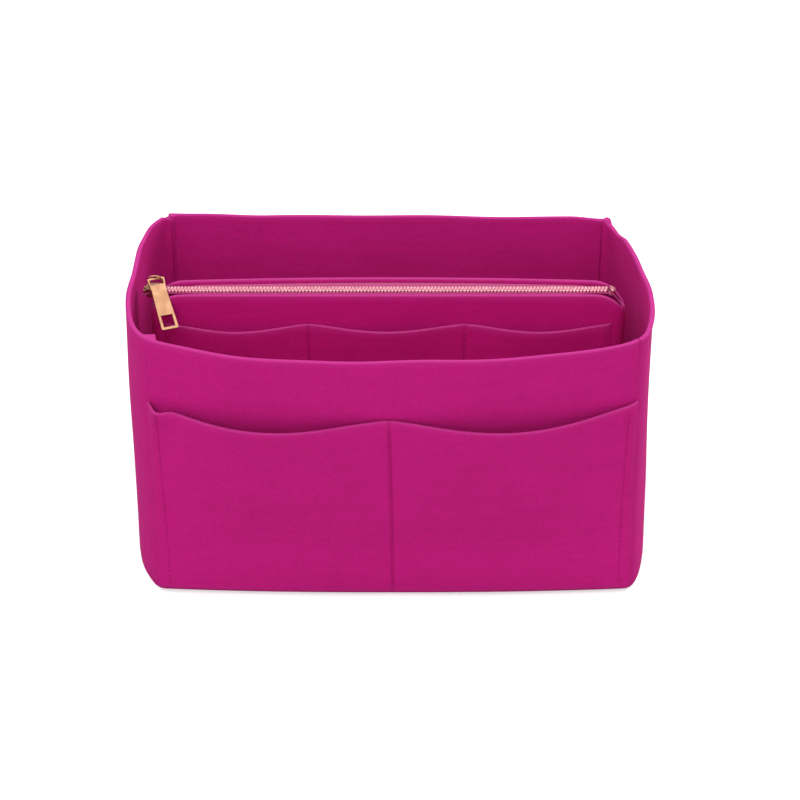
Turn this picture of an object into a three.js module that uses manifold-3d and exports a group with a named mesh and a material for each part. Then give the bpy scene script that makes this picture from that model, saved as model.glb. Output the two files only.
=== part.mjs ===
// Felt purse organiser insert: an open shell of sewn panels with a lift-out zip pouch in its middle.
// Lengths are millimetres. X runs along the long side, Y towards the rear, Z up.
// The origin is the middle of the base panel's underside.
import * as THREE from "three";
import { mergeVertices } from "three/addons/utils/BufferGeometryUtils.js";
import loadManifold from "manifold-3d";

const wasm = await loadManifold();
wasm.setup();

// Running gap kept between pieces that are sewn or rest on each other
const seamGap = 0.3;

// Shell panels
const baseLength = 286;
const rimTakeIn = 5;
const baseDepth = 162;
const baseThickness = 3;
const wallHeight = 170;
const wallThickness = 3;
const frontCornerRadiusAtBase = 8;
const frontCornerRadiusAtRim = 30;
const rearCornerRadius = 4;
const sideBulgeAtBase = 15;
const sideBulgeAtRim = 13;
const sideBulgePower = 3.4;
const frontBowAtBase = 4;
const frontBowAtRim = 24.5;
const frontBowPower = 2.5;

// Double pocket sewn on the outside of the front wall
const outerPocketThickness = 2.5;
const outerPocketEndHeight = 130.5;
const outerPocketSeamHeight = 131;
const outerPocketScoop = 5.5;
const outerPocketPuff = 8;

// Triple pocket sewn on the inside of the front wall
const innerPocketThickness = 2;
const innerPocketHeight = 141;
const innerPocketScoop = 6;
const innerPocketPuff = 7.5;
const innerPocketEndInset = 16;
const innerPocketSeams = [-47, 43];

// Lift-out pouch
const pouchPastRimCorners = 2.5;
const pouchHeight = 156.5;
const pouchThickness = 2.5;
const pouchMouth = 13.7;
const pouchFoot = 3;
const pouchFootRise = 24;
const pouchRearBow = 5;
const pouchBowPower = 2;
const pouchRearRise = 1.5;
const pouchCornerRadius = 20;
const pouchEdgeRoll = 2;

// Triple slip pocket sewn on the front of the pouch
const slipPocketThickness = 2;
const slipPocketBelowPouchTop = 18.4;
const slipPocketScoop = 2;
const slipPocketPuff = 6.5;
const slipPocketEndInset = 9;
const slipPocketSeams = [-48, 46];

// How a pocket's mouth dips and swells between two seams
const scoopPower = 1.4;
const puffPower = 1.6;

// Zip chain: rows of teeth on two tapes, level with the pouch's front edge but for a small drop
const chainBelowFrontEdge = 0.6;
const chainLead = 0.3;
const toothPitch = 3;
const toothThickness = 1.1;
const toothHeight = 2.4;
const toothOverlap = 0.5;
const toothSpineWidth = 0.8;
const chainHalfWidth = 2.9;
const tapeThickness = 0.6;
const tapeDrop = 9;
const tapeTail = 3;
const tapeHalfSpread = 5;
const tapeTailHalfSpread = 4;
const tapeSpreadRun = 10;

// Stops at the ends of the chain
const stopLength = 1.5;
const stopWidth = 2;
const stopHeight = 2.8;
const bottomStopLength = 3;
const chainEndInset = 11;

// Slider body with its bail
const sliderLength = 11;
const sliderWidth = 8.8;
const sliderPlate = 1.1;
const sliderChannelHeight = 3;
const sliderChannelWidth = 7;
const sliderSlit = 1.4;
const sliderPostLength = 2.6;
const sliderPostWidth = 2.2;
const sliderFromPouchEnd = 4;
const sliderNoseShare = 0.72;
const sliderProfileShares = [[-0.55, 1], [0.1, 1], [0.75, 0.9], [1, 0.62]];
const bailRod = 1;
const bailSpan = 8;
const bailRise = 6.9;

// Pull tab, hung by its eye in the bail
const pullLength = 34;
const pullWidth = 10.2;
const pullShoulderWidth = 10.2;
const pullWaistWidth = 8.8;
const pullWaistLength = 7.5;
const pullThickness = 1;
const pullBar = 1;
const pullEyeWidth = 8.2;
const pullEyeLength = 3.5;
const pullEyeOffset = 0.3;
const pullWindowLength = 7.8;
const pullWindowWidth = 7;
const pullWindowBar = 1.5;
const pullCornerRadius = 1.2;
const pullAxisHeight = 5;
const pullYaw = THREE.MathUtils.degToRad(22);
const pullDroop = THREE.MathUtils.degToRad(36);

// How finely curved pieces are stepped
const wallArcShare = 0.07;
const pouchArcShare = 0.05;
const pouchColumnCrowding = 0.8;
const rimShares = [0, 0.17, 0.33, 0.5, 0.67, 0.83, 1];
const pocketRowShares = [0, 0.25, 0.5, 0.7, 0.85, 1];
const pouchFootShare = 0.3;
const pouchRowShares = [0, 0.08, 0.16, 0.24, pouchFootShare, 0.55, 0.75, 0.88, 1];
const tapeRowShares = [0, 0.5, 1];
const cornerSteps = 4;
const wallSteps = 24;
const pocketSteps = 24;
const tapeSteps = 36;
const rodSides = 8;
const rodSteps = 24;
const pullCurveSteps = 3;
const cutOverrun = 1;

// Places worked out from the sizes above
const rimLength = baseLength - rimTakeIn;
const pouchLength = rimLength + 2 * pouchPastRimCorners;
const wallFoot = baseThickness + seamGap;
const pouchTop = wallFoot + pouchHeight;
const slipPocketHeight = pouchTop - slipPocketBelowPouchTop;
const chainHeight = pouchTop - chainBelowFrontEdge;
const pouchHalf = pouchLength / 2;
const sliderX = -pouchHalf + sliderFromPouchEnd;
const chainStart = sliderX - sliderLength / 2 + sliderPostLength + seamGap;
const chainEnd = pouchHalf - chainEndInset;

const feltColor = 0xb21d73;
const linedColor = 0x9c165f;
const tapeColor = 0xa01862;
const teethColor = 0xe0c3b4;
const goldColor = 0xe2b07c;

function material(color, roughness, metalness) {
  return new THREE.MeshStandardMaterial({ color, roughness, metalness });
}

function lerp(a, b, share) {
  return a + (b - a) * share;
}

function smooth(share) {
  const s = Math.min(Math.max(share, 0), 1);
  return s * s * (3 - 2 * s);
}

// Closed solid between the two sides of a sheet. place(u, v, side) gives a point of the sheet,
// with side running from -1 on one face to 1 on the other.
function sheetSolid(uShares, vShares, place) {
  const positions = [];
  const index = [];
  const columns = uShares.length;
  const rows = vShares.length;
  for (const side of [-1, 1]) {
    for (const v of vShares) {
      for (const u of uShares) {
        positions.push(...place(u, v, side).toArray());
      }
    }
  }
  const at = (i, j, side) => side * columns * rows + j * columns + i;
  const quad = (a, b, c, d) => index.push(a, b, c, a, c, d);
  for (let i = 0; i < columns - 1; i += 1) {
    for (let j = 0; j < rows - 1; j += 1) {
      quad(at(i, j, 0), at(i, j + 1, 0), at(i + 1, j + 1, 0), at(i + 1, j, 0));
      quad(at(i, j, 1), at(i + 1, j, 1), at(i + 1, j + 1, 1), at(i, j + 1, 1));
    }
    quad(at(i, 0, 0), at(i + 1, 0, 0), at(i + 1, 0, 1), at(i, 0, 1));
    quad(at(i, rows - 1, 0), at(i, rows - 1, 1), at(i + 1, rows - 1, 1), at(i + 1, rows - 1, 0));
  }
  for (let j = 0; j < rows - 1; j += 1) {
    quad(at(0, j, 0), at(0, j, 1), at(0, j + 1, 1), at(0, j + 1, 0));
    quad(at(columns - 1, j, 0), at(columns - 1, j + 1, 0), at(columns - 1, j + 1, 1), at(columns - 1, j, 1));
  }
  return facingOut(positions, index);
}

// Geometry from points and triangles, turned inside out where its volume comes out negative
function facingOut(positions, index) {
  const corner = (k) => new THREE.Vector3().fromArray(positions, 3 * index[k]);
  let volume = 0;
  for (let k = 0; k < index.length; k += 3) {
    volume += corner(k).dot(corner(k + 1).cross(corner(k + 2)));
  }
  const turned = volume < 0 ? index.map((_, k) => index[k - (k % 3) + 2 - (k % 3)]) : index;
  const geometry = new THREE.BufferGeometry();
  geometry.setAttribute("position", new THREE.Float32BufferAttribute(positions, 3));
  geometry.setIndex(turned);
  geometry.computeVertexNormals();
  return geometry;
}

// Rise of a bow at a share of its chord. A higher power makes its middle flatter and its ends steeper.
function bowRise(bow, power, share) {
  return bow * (1 - Math.abs(2 * share - 1) ** power);
}

// Point of a plan curve: a chord from one seam to the next, with an arc at each end and a bow.
// from and to are the seams, start and finish the arcs' angles, first and last their radii.
function planPoint(curve, share) {
  const { from, to, start, finish, first, last, bow, power, arcShare } = curve;
  const chord = to.clone().sub(from);
  const length = chord.length();
  const e = chord.normalize();
  const out = new THREE.Vector2(e.y, -e.x);
  const startRun = first * Math.sin(start);
  const finishRun = last * Math.sin(finish);
  const startRise = first * (1 - Math.cos(start));
  const finishRise = last * (1 - Math.cos(finish));
  let along;
  let rise;
  if (share < arcShare) {
    const angle = start * (1 - share / arcShare);
    along = startRun - first * Math.sin(angle);
    rise = startRise - first * (1 - Math.cos(angle));
  } else if (share > 1 - arcShare) {
    const angle = finish * (1 - (1 - share) / arcShare);
    along = length - finishRun + last * Math.sin(angle);
    rise = finishRise - last * (1 - Math.cos(angle));
  } else {
    const middle = (share - arcShare) / (1 - 2 * arcShare);
    along = lerp(startRun, length - finishRun, middle);
    rise = lerp(startRise, finishRise, smooth(middle));
  }
  rise += bowRise(bow, power, along / length);
  return from.clone().addScaledVector(e, along).addScaledVector(out, rise);
}

// Point at a distance outside a plan curve, measured square to it
function planOffset(curve, share, distance) {
  const step = 1e-4;
  const before = planPoint(curve, Math.max(share - step, 0));
  const after = planPoint(curve, Math.min(share + step, 1));
  const tangent = after.sub(before).normalize();
  const point = planPoint(curve, share);
  return point.add(new THREE.Vector2(tangent.y, -tangent.x).multiplyScalar(distance));
}

// Share of a plan curve at which it reaches a place along X, between its end arcs
function shareAtX(curve, x) {
  const low = curve.from.x + curve.first * Math.sin(curve.start);
  const high = curve.to.x - curve.last * Math.sin(curve.finish);
  return lerp(curve.arcShare, 1 - curve.arcShare, (x - low) / (high - low));
}

// Shares along a plan curve, close together in its end arcs and next to them
function planShares(arcShare, steps, crowding = 0) {
  const shares = [];
  for (let i = 0; i < cornerSteps; i += 1) {
    shares.push((arcShare * i) / cornerSteps);
  }
  for (let i = 0; i <= steps; i += 1) {
    const m = i / steps;
    const eased = m - (crowding * Math.sin(2 * Math.PI * m)) / (2 * Math.PI);
    shares.push(lerp(arcShare, 1 - arcShare, eased));
  }
  for (let i = 1; i <= cornerSteps; i += 1) {
    shares.push(1 - arcShare + (arcShare * i) / cornerSteps);
  }
  return shares;
}

// Shell walls. Each wall's plan curve changes with the height share, from its foot at 0 to the rim at 1.
function sideBulge(h) {
  return lerp(sideBulgeAtBase, sideBulgeAtRim, h);
}

function frontBow(h) {
  return lerp(frontBowAtBase, frontBowAtRim, h);
}

function frontCornerRadius(h) {
  return lerp(frontCornerRadiusAtBase, frontCornerRadiusAtRim, h);
}

// Angle of the arc on each side of a corner seam, from the slopes at which the two walls arrive there
function cornerAngles(h) {
  const sideSlope = Math.atan((2 * sideBulgePower * sideBulge(h)) / baseDepth);
  const frontSlope = Math.atan((2 * frontBowPower * frontBow(h)) / lerp(baseLength, rimLength, h));
  return { front: (Math.PI / 2 - sideSlope - frontSlope) / 2, rear: (Math.PI / 2 - sideSlope) / 2 };
}

function cornerSeams(h) {
  const angles = cornerAngles(h);
  const half = lerp(baseLength, rimLength, h) / 2;
  const frontInset = wallThickness / 2 + frontCornerRadius(h) * (1 - Math.cos(angles.front));
  const rearInset = wallThickness / 2 + rearCornerRadius * (1 - Math.cos(angles.rear));
  return {
    front: new THREE.Vector2(half - frontInset, baseDepth / 2 - frontInset),
    rear: new THREE.Vector2(half - rearInset, baseDepth / 2 - rearInset),
  };
}

// Plan curve between two corner seams, short of each by half the seam gap
function wallCurve(from, to, ends) {
  const shift = to.clone().sub(from).setLength(seamGap * Math.SQRT1_2);
  return { from: from.clone().add(shift), to: to.clone().sub(shift), arcShare: wallArcShare, ...ends };
}

function frontCurve(h) {
  const { front } = cornerSeams(h);
  const angle = cornerAngles(h).front;
  const radius = frontCornerRadius(h);
  const left = new THREE.Vector2(-front.x, -front.y);
  const right = new THREE.Vector2(front.x, -front.y);
  const ends = { start: angle, finish: angle, first: radius, last: radius };
  return wallCurve(left, right, { ...ends, bow: frontBow(h), power: frontBowPower });
}

function rearCurve(h) {
  const { rear } = cornerSeams(h);
  const angle = cornerAngles(h).rear;
  const left = new THREE.Vector2(-rear.x, rear.y);
  const ends = { start: angle, finish: angle, first: rearCornerRadius, last: rearCornerRadius };
  return wallCurve(rear, left, { ...ends, bow: 0, power: frontBowPower });
}

function rightCurve(h) {
  const { front, rear } = cornerSeams(h);
  const angles = cornerAngles(h);
  const low = new THREE.Vector2(front.x, -front.y);
  const ends = { start: angles.front, finish: angles.rear, first: frontCornerRadius(h), last: rearCornerRadius };
  return wallCurve(low, rear, { ...ends, bow: sideBulge(h), power: sideBulgePower });
}

function leftCurve(h) {
  const { front, rear } = cornerSeams(h);
  const angles = cornerAngles(h);
  const high = new THREE.Vector2(-rear.x, rear.y);
  const low = new THREE.Vector2(-front.x, -front.y);
  const ends = { start: angles.rear, finish: angles.front, first: rearCornerRadius, last: frontCornerRadius(h) };
  return wallCurve(high, low, { ...ends, bow: sideBulge(h), power: sideBulgePower });
}

function heightShare(z) {
  return (z - wallFoot) / (wallHeight - wallFoot);
}

function wall(curveAt, steps) {
  return sheetSolid(planShares(wallArcShare, steps), rimShares, (u, h, side) => {
    const p = planOffset(curveAt(h), u, (side * wallThickness) / 2);
    return new THREE.Vector3(p.x, p.y, lerp(wallFoot, wallHeight, h));
  });
}

// Base panel, cut to the outside of the walls' feet
function basePanel() {
  const outline = [];
  for (const curveAt of [frontCurve, rightCurve, rearCurve, leftCurve]) {
    for (const u of planShares(wallArcShare, wallSteps / 2)) {
      outline.push(planOffset(curveAt(0), u, wallThickness / 2));
    }
  }
  return new THREE.ExtrudeGeometry(new THREE.Shape(outline), { depth: baseThickness, bevelEnabled: false });
}

// Pocket panels. seams lists the panel's ends and its divider seams along X, heights their top heights.
// Each column's share of the panel's plan curve comes from shareAt.
function pocketLobe(seams, x) {
  let k = 0;
  while (k < seams.length - 2 && x > seams[k + 1]) {
    k += 1;
  }
  const w = Math.min(Math.max((x - seams[k]) / (seams[k + 1] - seams[k]), 0), 1);
  return { k, w, swell: Math.sin(Math.PI * w) ** scoopPower };
}

function pocketPanel(form) {
  const { seams, heights, scoop, puff, thickness, standoff, outward, curveAt, zAt, rows, columns, shareAt } = form;
  const level = curveAt(heights[0]);
  return sheetSolid(columns, rows, (column, v, side) => {
    const { k, w, swell } = pocketLobe(seams, planPoint(level, shareAt(level, column)).x);
    const top = lerp(heights[k], heights[k + 1], w) - scoop * swell;
    const z = zAt(v, top);
    const curve = curveAt(z);
    const away = standoff + seamGap + thickness / 2 + puff * swell * v ** puffPower;
    const p = planOffset(curve, shareAt(curve, column), outward * (away + (side * thickness) / 2));
    return new THREE.Vector3(p.x, p.y, z);
  });
}

function evenly(from, to, steps) {
  return Array.from({ length: steps + 1 }, (_, i) => lerp(from, to, i / steps));
}

function shellPocketRow(v, top) {
  return lerp(wallFoot, top, v);
}

function frontOuterPocket() {
  const half = frontCurve(0).to.x;
  return pocketPanel({
    seams: [-half, 0, half],
    heights: [outerPocketEndHeight, outerPocketSeamHeight, outerPocketEndHeight],
    scoop: outerPocketScoop,
    puff: outerPocketPuff,
    thickness: outerPocketThickness,
    standoff: wallThickness / 2,
    outward: 1,
    curveAt: (z) => frontCurve(heightShare(z)),
    zAt: shellPocketRow,
    rows: pocketRowShares,
    columns: planShares(wallArcShare, pocketSteps),
    shareAt: (curve, share) => share,
  });
}

function innerFrontPocket() {
  const half = rimLength / 2 - innerPocketEndInset;
  return pocketPanel({
    seams: [-half, ...innerPocketSeams, half],
    heights: [innerPocketHeight, innerPocketHeight, innerPocketHeight, innerPocketHeight],
    scoop: innerPocketScoop,
    puff: innerPocketPuff,
    thickness: innerPocketThickness,
    standoff: wallThickness / 2,
    outward: -1,
    curveAt: (z) => frontCurve(heightShare(z)),
    zAt: shellPocketRow,
    rows: pocketRowShares,
    columns: evenly(-half, half, pocketSteps),
    shareAt: shareAtX,
  });
}

// Pouch panels. Their ends turn in to the side seams and their feet draw in to the bottom seam.
function pouchDepth(z) {
  const share = smooth((z - wallFoot) / pouchFootRise);
  return lerp(pouchFoot, pouchMouth, share) / 2;
}

function pouchCurve(z, sign, bow) {
  const y = (sign * seamGap) / 2;
  const radius = pouchDepth(z);
  const right = new THREE.Vector2(pouchHalf - pouchThickness / 2, y);
  const left = new THREE.Vector2(-pouchHalf + pouchThickness / 2, y);
  const ends = sign < 0 ? { from: left, to: right } : { from: right, to: left };
  const rise = bow * smooth((z - wallFoot) / (pouchTop - wallFoot));
  const quarter = Math.PI / 2;
  const arcs = { start: quarter, finish: quarter, first: radius, last: radius, arcShare: pouchArcShare };
  return { ...ends, ...arcs, bow: rise, power: pouchBowPower };
}

function frontPouchCurve(z) {
  return pouchCurve(z, -1, 0);
}

function rearPouchCurve(z) {
  return pouchCurve(z, 1, pouchRearBow);
}

function pouchTopAt(x, top) {
  const into = Math.min(pouchHalf - Math.abs(x), pouchCornerRadius);
  const run = 1 - into / pouchCornerRadius;
  return top - pouchCornerRadius * (1 - Math.sqrt(Math.max(1 - run * run, 0)));
}

// Height of a panel's row: the first rows share the foot's rise, the others run on to the panel's top
function pouchRow(v, top) {
  const turn = wallFoot + pouchFootRise;
  if (v < pouchFootShare) {
    return lerp(wallFoot, turn, v / pouchFootShare);
  }
  return lerp(turn, top, (v - pouchFootShare) / (1 - pouchFootShare));
}

function pouchPanel(curveAt, top) {
  const columns = planShares(pouchArcShare, wallSteps, pouchColumnCrowding);
  return sheetSolid(columns, pouchRowShares, (u, v, side) => {
    const z = pouchRow(v, pouchTopAt(planPoint(curveAt(top), u).x, top));
    const p = planOffset(curveAt(z), u, (side * pouchThickness) / 2);
    const roll = v === 1 && side > 0 ? pouchEdgeRoll : 0;
    return new THREE.Vector3(p.x, p.y, z - roll);
  });
}

function pouchSlipPocket() {
  const half = pouchHalf - slipPocketEndInset;
  return pocketPanel({
    seams: [-half, ...slipPocketSeams, half],
    heights: [slipPocketHeight, slipPocketHeight, slipPocketHeight, slipPocketHeight],
    scoop: slipPocketScoop,
    puff: slipPocketPuff,
    thickness: slipPocketThickness,
    standoff: pouchThickness / 2,
    outward: 1,
    curveAt: frontPouchCurve,
    zAt: pouchRow,
    rows: pouchRowShares,
    columns: evenly(-half, half, pocketSteps),
    shareAt: shareAtX,
  });
}

// Zip tape: flat from the teeth to the panel, then down the panel's inner face. Towards its ends it
// first climbs up that face and then narrows, so that the slider can pass.
function zipTape(curveAt, sign) {
  const from = sliderX - sliderLength / 2 - stopLength - tapeTail;
  const to = pouchHalf - tapeTail;
  const edge = chainHalfWidth + seamGap;
  const half = tapeThickness / 2;
  const { bow, power } = curveAt(chainHeight);
  return sheetSolid(evenly(from, to, tapeSteps), tapeRowShares, (x, v, side) => {
    const bowed = Math.max(bowRise(bow, power, (x / pouchHalf + 1) / 2), 0);
    const inside = pouchHalf - pouchCornerRadius - Math.abs(x);
    const spread = smooth(inside / tapeSpreadRun);
    const dropped = smooth((inside - tapeSpreadRun) / tapeSpreadRun);
    const bend = lerp(tapeTailHalfSpread, tapeHalfSpread + bowed, spread) - half;
    const low = chainHeight - tapeThickness - tapeDrop * dropped;
    const y = v === 0 ? edge : bend + side * half;
    const z = v === 1 ? low : chainHeight + side * half;
    return new THREE.Vector3(x, sign * y, z);
  });
}

// Row of teeth on its spine, drawn as a comb and raised to the teeth's height
function zipTeeth(sign, offset) {
  const outline = [[chainStart, chainHalfWidth]];
  const root = chainHalfWidth - toothSpineWidth;
  const count = Math.floor((chainEnd - chainStart - offset - toothThickness) / toothPitch) + 1;
  outline.push([chainStart, root]);
  for (let k = 0; k < count; k += 1) {
    const x = chainStart + offset + k * toothPitch;
    const after = x + toothThickness;
    outline.push([x, root], [x, -toothOverlap], [after, -toothOverlap], [after, root]);
  }
  outline.push([chainEnd, root], [chainEnd, chainHalfWidth]);
  const shape = new THREE.Shape(outline.map(([x, y]) => new THREE.Vector2(x, sign * y)));
  const geometry = new THREE.ExtrudeGeometry(shape, { depth: toothHeight, bevelEnabled: false });
  return geometry.translate(0, 0, chainHeight - toothHeight / 2);
}

function block(x, y, z, length, width, height) {
  return new THREE.BoxGeometry(length, width, height).translate(x, y, z);
}

function topStop(sign) {
  const x = sliderX - sliderLength / 2 - seamGap - stopLength / 2;
  return block(x, sign * (chainHalfWidth - stopWidth / 2), chainHeight, stopLength, stopWidth, stopHeight);
}

function bottomStop() {
  const x = chainEnd + seamGap + bottomStopLength / 2;
  return block(x, 0, chainHeight, bottomStopLength, 2 * chainHalfWidth, stopHeight);
}

// Solids joined and cut
function solidOf(geometry) {
  const bare = geometry.clone();
  bare.deleteAttribute("normal");
  bare.deleteAttribute("uv");
  const merged = mergeVertices(bare);
  const vertProperties = new Float32Array(merged.attributes.position.array);
  const triVerts = new Uint32Array(merged.index.array);
  return new wasm.Manifold(new wasm.Mesh({ numProp: 3, vertProperties, triVerts }));
}

function geometryOf(solid) {
  const mesh = solid.getMesh();
  const geometry = new THREE.BufferGeometry();
  geometry.setAttribute("position", new THREE.Float32BufferAttribute(Float32Array.from(mesh.vertProperties), 3));
  geometry.setIndex(Array.from(mesh.triVerts));
  geometry.computeVertexNormals();
  return geometry;
}

// Slider body in its own frame: X along the chain with the nose at -X, the chain's middle at the origin
function sliderBody() {
  const halfLength = sliderLength / 2;
  const halfWidth = sliderWidth / 2;
  const height = sliderChannelHeight + 2 * sliderPlate;
  const upper = sliderProfileShares.map(([x, y]) => [x * halfLength, y * halfWidth]);
  upper.unshift([-halfLength, sliderNoseShare * halfWidth]);
  const lower = upper.map(([x, y]) => [x, -y]).reverse();
  const outline = [...upper, ...lower].map(([x, y]) => new THREE.Vector2(x, y));
  const plate = new THREE.ExtrudeGeometry(new THREE.Shape(outline), { depth: height, bevelEnabled: false });
  const run = sliderLength + 2 * cutOverrun;
  const across = sliderWidth + 2 * cutOverrun;
  const channel = solidOf(block(0, 0, 0, run, sliderChannelWidth, sliderChannelHeight));
  const slit = solidOf(block(0, 0, 0, run, across, sliderSlit));
  const postX = -halfLength + sliderPostLength / 2;
  const post = solidOf(block(postX, 0, 0, sliderPostLength, sliderPostWidth, height));
  const body = solidOf(plate.translate(0, 0, -height / 2)).subtract(channel).subtract(slit).add(post);
  return geometryOf(body.add(solidOf(bail(height / 2))));
}

// Bail: a rod that arches along the slider's top plate
function bail(plateTop) {
  const half = bailSpan / 2;
  const foot = plateTop - sliderPlate / 2;
  const top = plateTop + bailRise;
  const bend = bailRise / 2;
  const path = new THREE.CurvePath();
  const at = (x, z) => new THREE.Vector3(x, 0, z);
  path.add(new THREE.LineCurve3(at(-half, foot), at(-half, top - bend)));
  path.add(new THREE.QuadraticBezierCurve3(at(-half, top - bend), at(-half, top), at(-half + bend, top)));
  path.add(new THREE.LineCurve3(at(-half + bend, top), at(half - bend, top)));
  path.add(new THREE.QuadraticBezierCurve3(at(half - bend, top), at(half, top), at(half, top - bend)));
  path.add(new THREE.LineCurve3(at(half, top - bend), at(half, foot)));
  const section = new THREE.Shape(
    Array.from({ length: rodSides }, (_, k) => {
      const angle = ((k + 0.5) * 2 * Math.PI) / rodSides;
      return new THREE.Vector2(Math.cos(angle), Math.sin(angle)).multiplyScalar(bailRod / 2);
    }),
  );
  return new THREE.ExtrudeGeometry(section, { steps: rodSteps, extrudePath: path });
}

// Pull tab in its own frame: the eye's crossbar along X at the origin, the tab hanging towards -Y
function pullTab() {
  const half = pullWidth / 2;
  const shoulder = pullShoulderWidth / 2;
  const waist = pullWaistWidth / 2;
  const end = -pullLength;
  const r = pullCornerRadius;
  const shape = new THREE.Shape();
  shape.moveTo(-shoulder + r, pullBar / 2);
  shape.lineTo(shoulder - r, pullBar / 2);
  shape.quadraticCurveTo(shoulder, pullBar / 2, shoulder, pullBar / 2 - r);
  shape.lineTo(waist, -pullWaistLength);
  shape.lineTo(half, end + r);
  shape.quadraticCurveTo(half, end, half - r, end);
  shape.lineTo(-half + r, end);
  shape.quadraticCurveTo(-half, end, -half, end + r);
  shape.lineTo(-waist, -pullWaistLength);
  shape.lineTo(-shoulder, pullBar / 2 - r);
  shape.quadraticCurveTo(-shoulder, pullBar / 2, -shoulder + r, pullBar / 2);
  shape.holes.push(
    rectangle(pullEyeWidth, pullEyeLength, -pullBar / 2),
    rectangle(pullWindowWidth, pullWindowLength, end + pullWindowBar + pullWindowLength),
  );
  const form = { depth: pullThickness, bevelEnabled: false, curveSegments: pullCurveSteps };
  const tab = new THREE.ExtrudeGeometry(shape, form);
  return tab.translate(pullEyeOffset, 0, -pullThickness / 2);
}

function rectangle(width, length, top) {
  const half = width / 2;
  const corners = [[-half, top], [-half, top - length], [half, top - length], [half, top]];
  return new THREE.Path(corners.map(([x, y]) => new THREE.Vector2(x, y)));
}

const insert = new THREE.Group();

function addPiece(parent, name, geometry, look) {
  const mesh = new THREE.Mesh(geometry, look);
  mesh.name = name;
  parent.add(mesh);
  return mesh;
}

const felt = () => material(feltColor, 0.95, 0);
const innerFelt = () => material(linedColor, 0.95, 0);
const gold = () => material(goldColor, 0.3, 0.9);

const shell = new THREE.Group();
insert.add(shell);
addPiece(shell, "base_panel", basePanel(), felt());
addPiece(shell, "front_wall", wall(frontCurve, wallSteps), felt());
addPiece(shell, "rear_wall", wall(rearCurve, wallSteps / 2), felt());
addPiece(shell, "left_side_wall", wall(leftCurve, wallSteps / 2), felt());
addPiece(shell, "right_side_wall", wall(rightCurve, wallSteps / 2), felt());
addPiece(shell, "front_outer_pocket", frontOuterPocket(), felt());
addPiece(shell, "front_inner_pocket", innerFrontPocket(), innerFelt());

const pouch = new THREE.Group();
insert.add(pouch);
addPiece(pouch, "pouch_front_panel", pouchPanel(frontPouchCurve, pouchTop), innerFelt());
addPiece(pouch, "pouch_rear_panel", pouchPanel(rearPouchCurve, pouchTop + pouchRearRise), innerFelt());
addPiece(pouch, "pouch_slip_pocket", pouchSlipPocket(), innerFelt());
addPiece(pouch, "zip_tape_front", zipTape(frontPouchCurve, -1), material(tapeColor, 0.85, 0));
addPiece(pouch, "zip_tape_rear", zipTape(rearPouchCurve, 1), material(tapeColor, 0.85, 0));
addPiece(pouch, "zip_teeth_front", zipTeeth(-1, chainLead), material(teethColor, 0.35, 0.7));
addPiece(pouch, "zip_teeth_rear", zipTeeth(1, chainLead + toothPitch / 2), material(teethColor, 0.35, 0.7));
addPiece(pouch, "zip_top_stop_front", topStop(-1), gold());
addPiece(pouch, "zip_top_stop_rear", topStop(1), gold());
addPiece(pouch, "zip_bottom_stop", bottomStop(), gold());

const slider = addPiece(pouch, "zip_slider", sliderBody(), gold());
slider.position.set(sliderX, 0, chainHeight);

const pull = addPiece(pouch, "pull_tab", pullTab(), gold());
pull.position.set(sliderX, 0, chainHeight + sliderChannelHeight / 2 + sliderPlate + pullAxisHeight);
pull.rotation.set(pullDroop, 0, pullYaw, "ZYX");

export default insert;
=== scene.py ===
import math

import bpy
import numpy as np
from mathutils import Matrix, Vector

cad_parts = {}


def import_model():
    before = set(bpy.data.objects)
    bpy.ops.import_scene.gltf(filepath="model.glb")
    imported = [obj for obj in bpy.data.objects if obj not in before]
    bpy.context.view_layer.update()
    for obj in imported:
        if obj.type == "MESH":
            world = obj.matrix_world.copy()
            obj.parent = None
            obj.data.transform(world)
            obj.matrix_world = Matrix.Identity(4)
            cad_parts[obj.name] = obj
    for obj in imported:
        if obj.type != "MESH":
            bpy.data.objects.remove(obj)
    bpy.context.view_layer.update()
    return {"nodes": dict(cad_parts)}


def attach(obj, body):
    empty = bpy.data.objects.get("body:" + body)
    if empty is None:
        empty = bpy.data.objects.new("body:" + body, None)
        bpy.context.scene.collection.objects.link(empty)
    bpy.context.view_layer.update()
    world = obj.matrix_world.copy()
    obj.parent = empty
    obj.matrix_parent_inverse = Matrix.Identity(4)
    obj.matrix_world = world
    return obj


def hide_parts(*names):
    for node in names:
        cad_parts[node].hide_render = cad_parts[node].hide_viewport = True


MM = 0.001

# Shell, as in the part's source
SEAM_GAP = 0.3
BASE_LENGTH, RIM_LENGTH, DEPTH = 286.0, 281.0, 162.0
BASE_THICKNESS, WALL_THICKNESS, WALL_HEIGHT = 3.0, 3.0, 170.0
FOOT = BASE_THICKNESS + SEAM_GAP
FRONT_RADIUS_BASE, FRONT_RADIUS_RIM, REAR_RADIUS = 8.0, 30.0, 4.0
BULGE_BASE, BULGE_RIM, BULGE_POWER = 15.0, 13.0, 3.4
BOW_BASE, BOW_RIM, BOW_POWER = 4.0, 24.5, 2.5
WALL_ARC = 0.07
WALL_FLATS = dict(front=330.0, rear=285.0, side=170.0)

# Pockets, as in the part's source, and the heights between which their stitches show
OUTER_POCKET = dict(
    thickness=2.5, end=130.5, seam=131.0, scoop=5.5, puff=8.0, flat=(300.0, 128.0), stitched=(6, 129),
)
INNER_POCKET = dict(
    thickness=2.0, height=141.0, scoop=6.0, puff=7.5, end_inset=16.0, seams=(-47.0, 43.0),
    flat=(272.0, 138.0), stitched=(6, 139),
)
SLIP_POCKET = dict(
    thickness=2.0, height=141.4, scoop=2.0, puff=6.5, end_inset=9.0, seams=(-48.0, 46.0),
    flat=(286.0, 140.0), stitched=(30, 140),
)
SCOOP_POWER, PUFF_POWER = 1.4, 1.6

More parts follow.
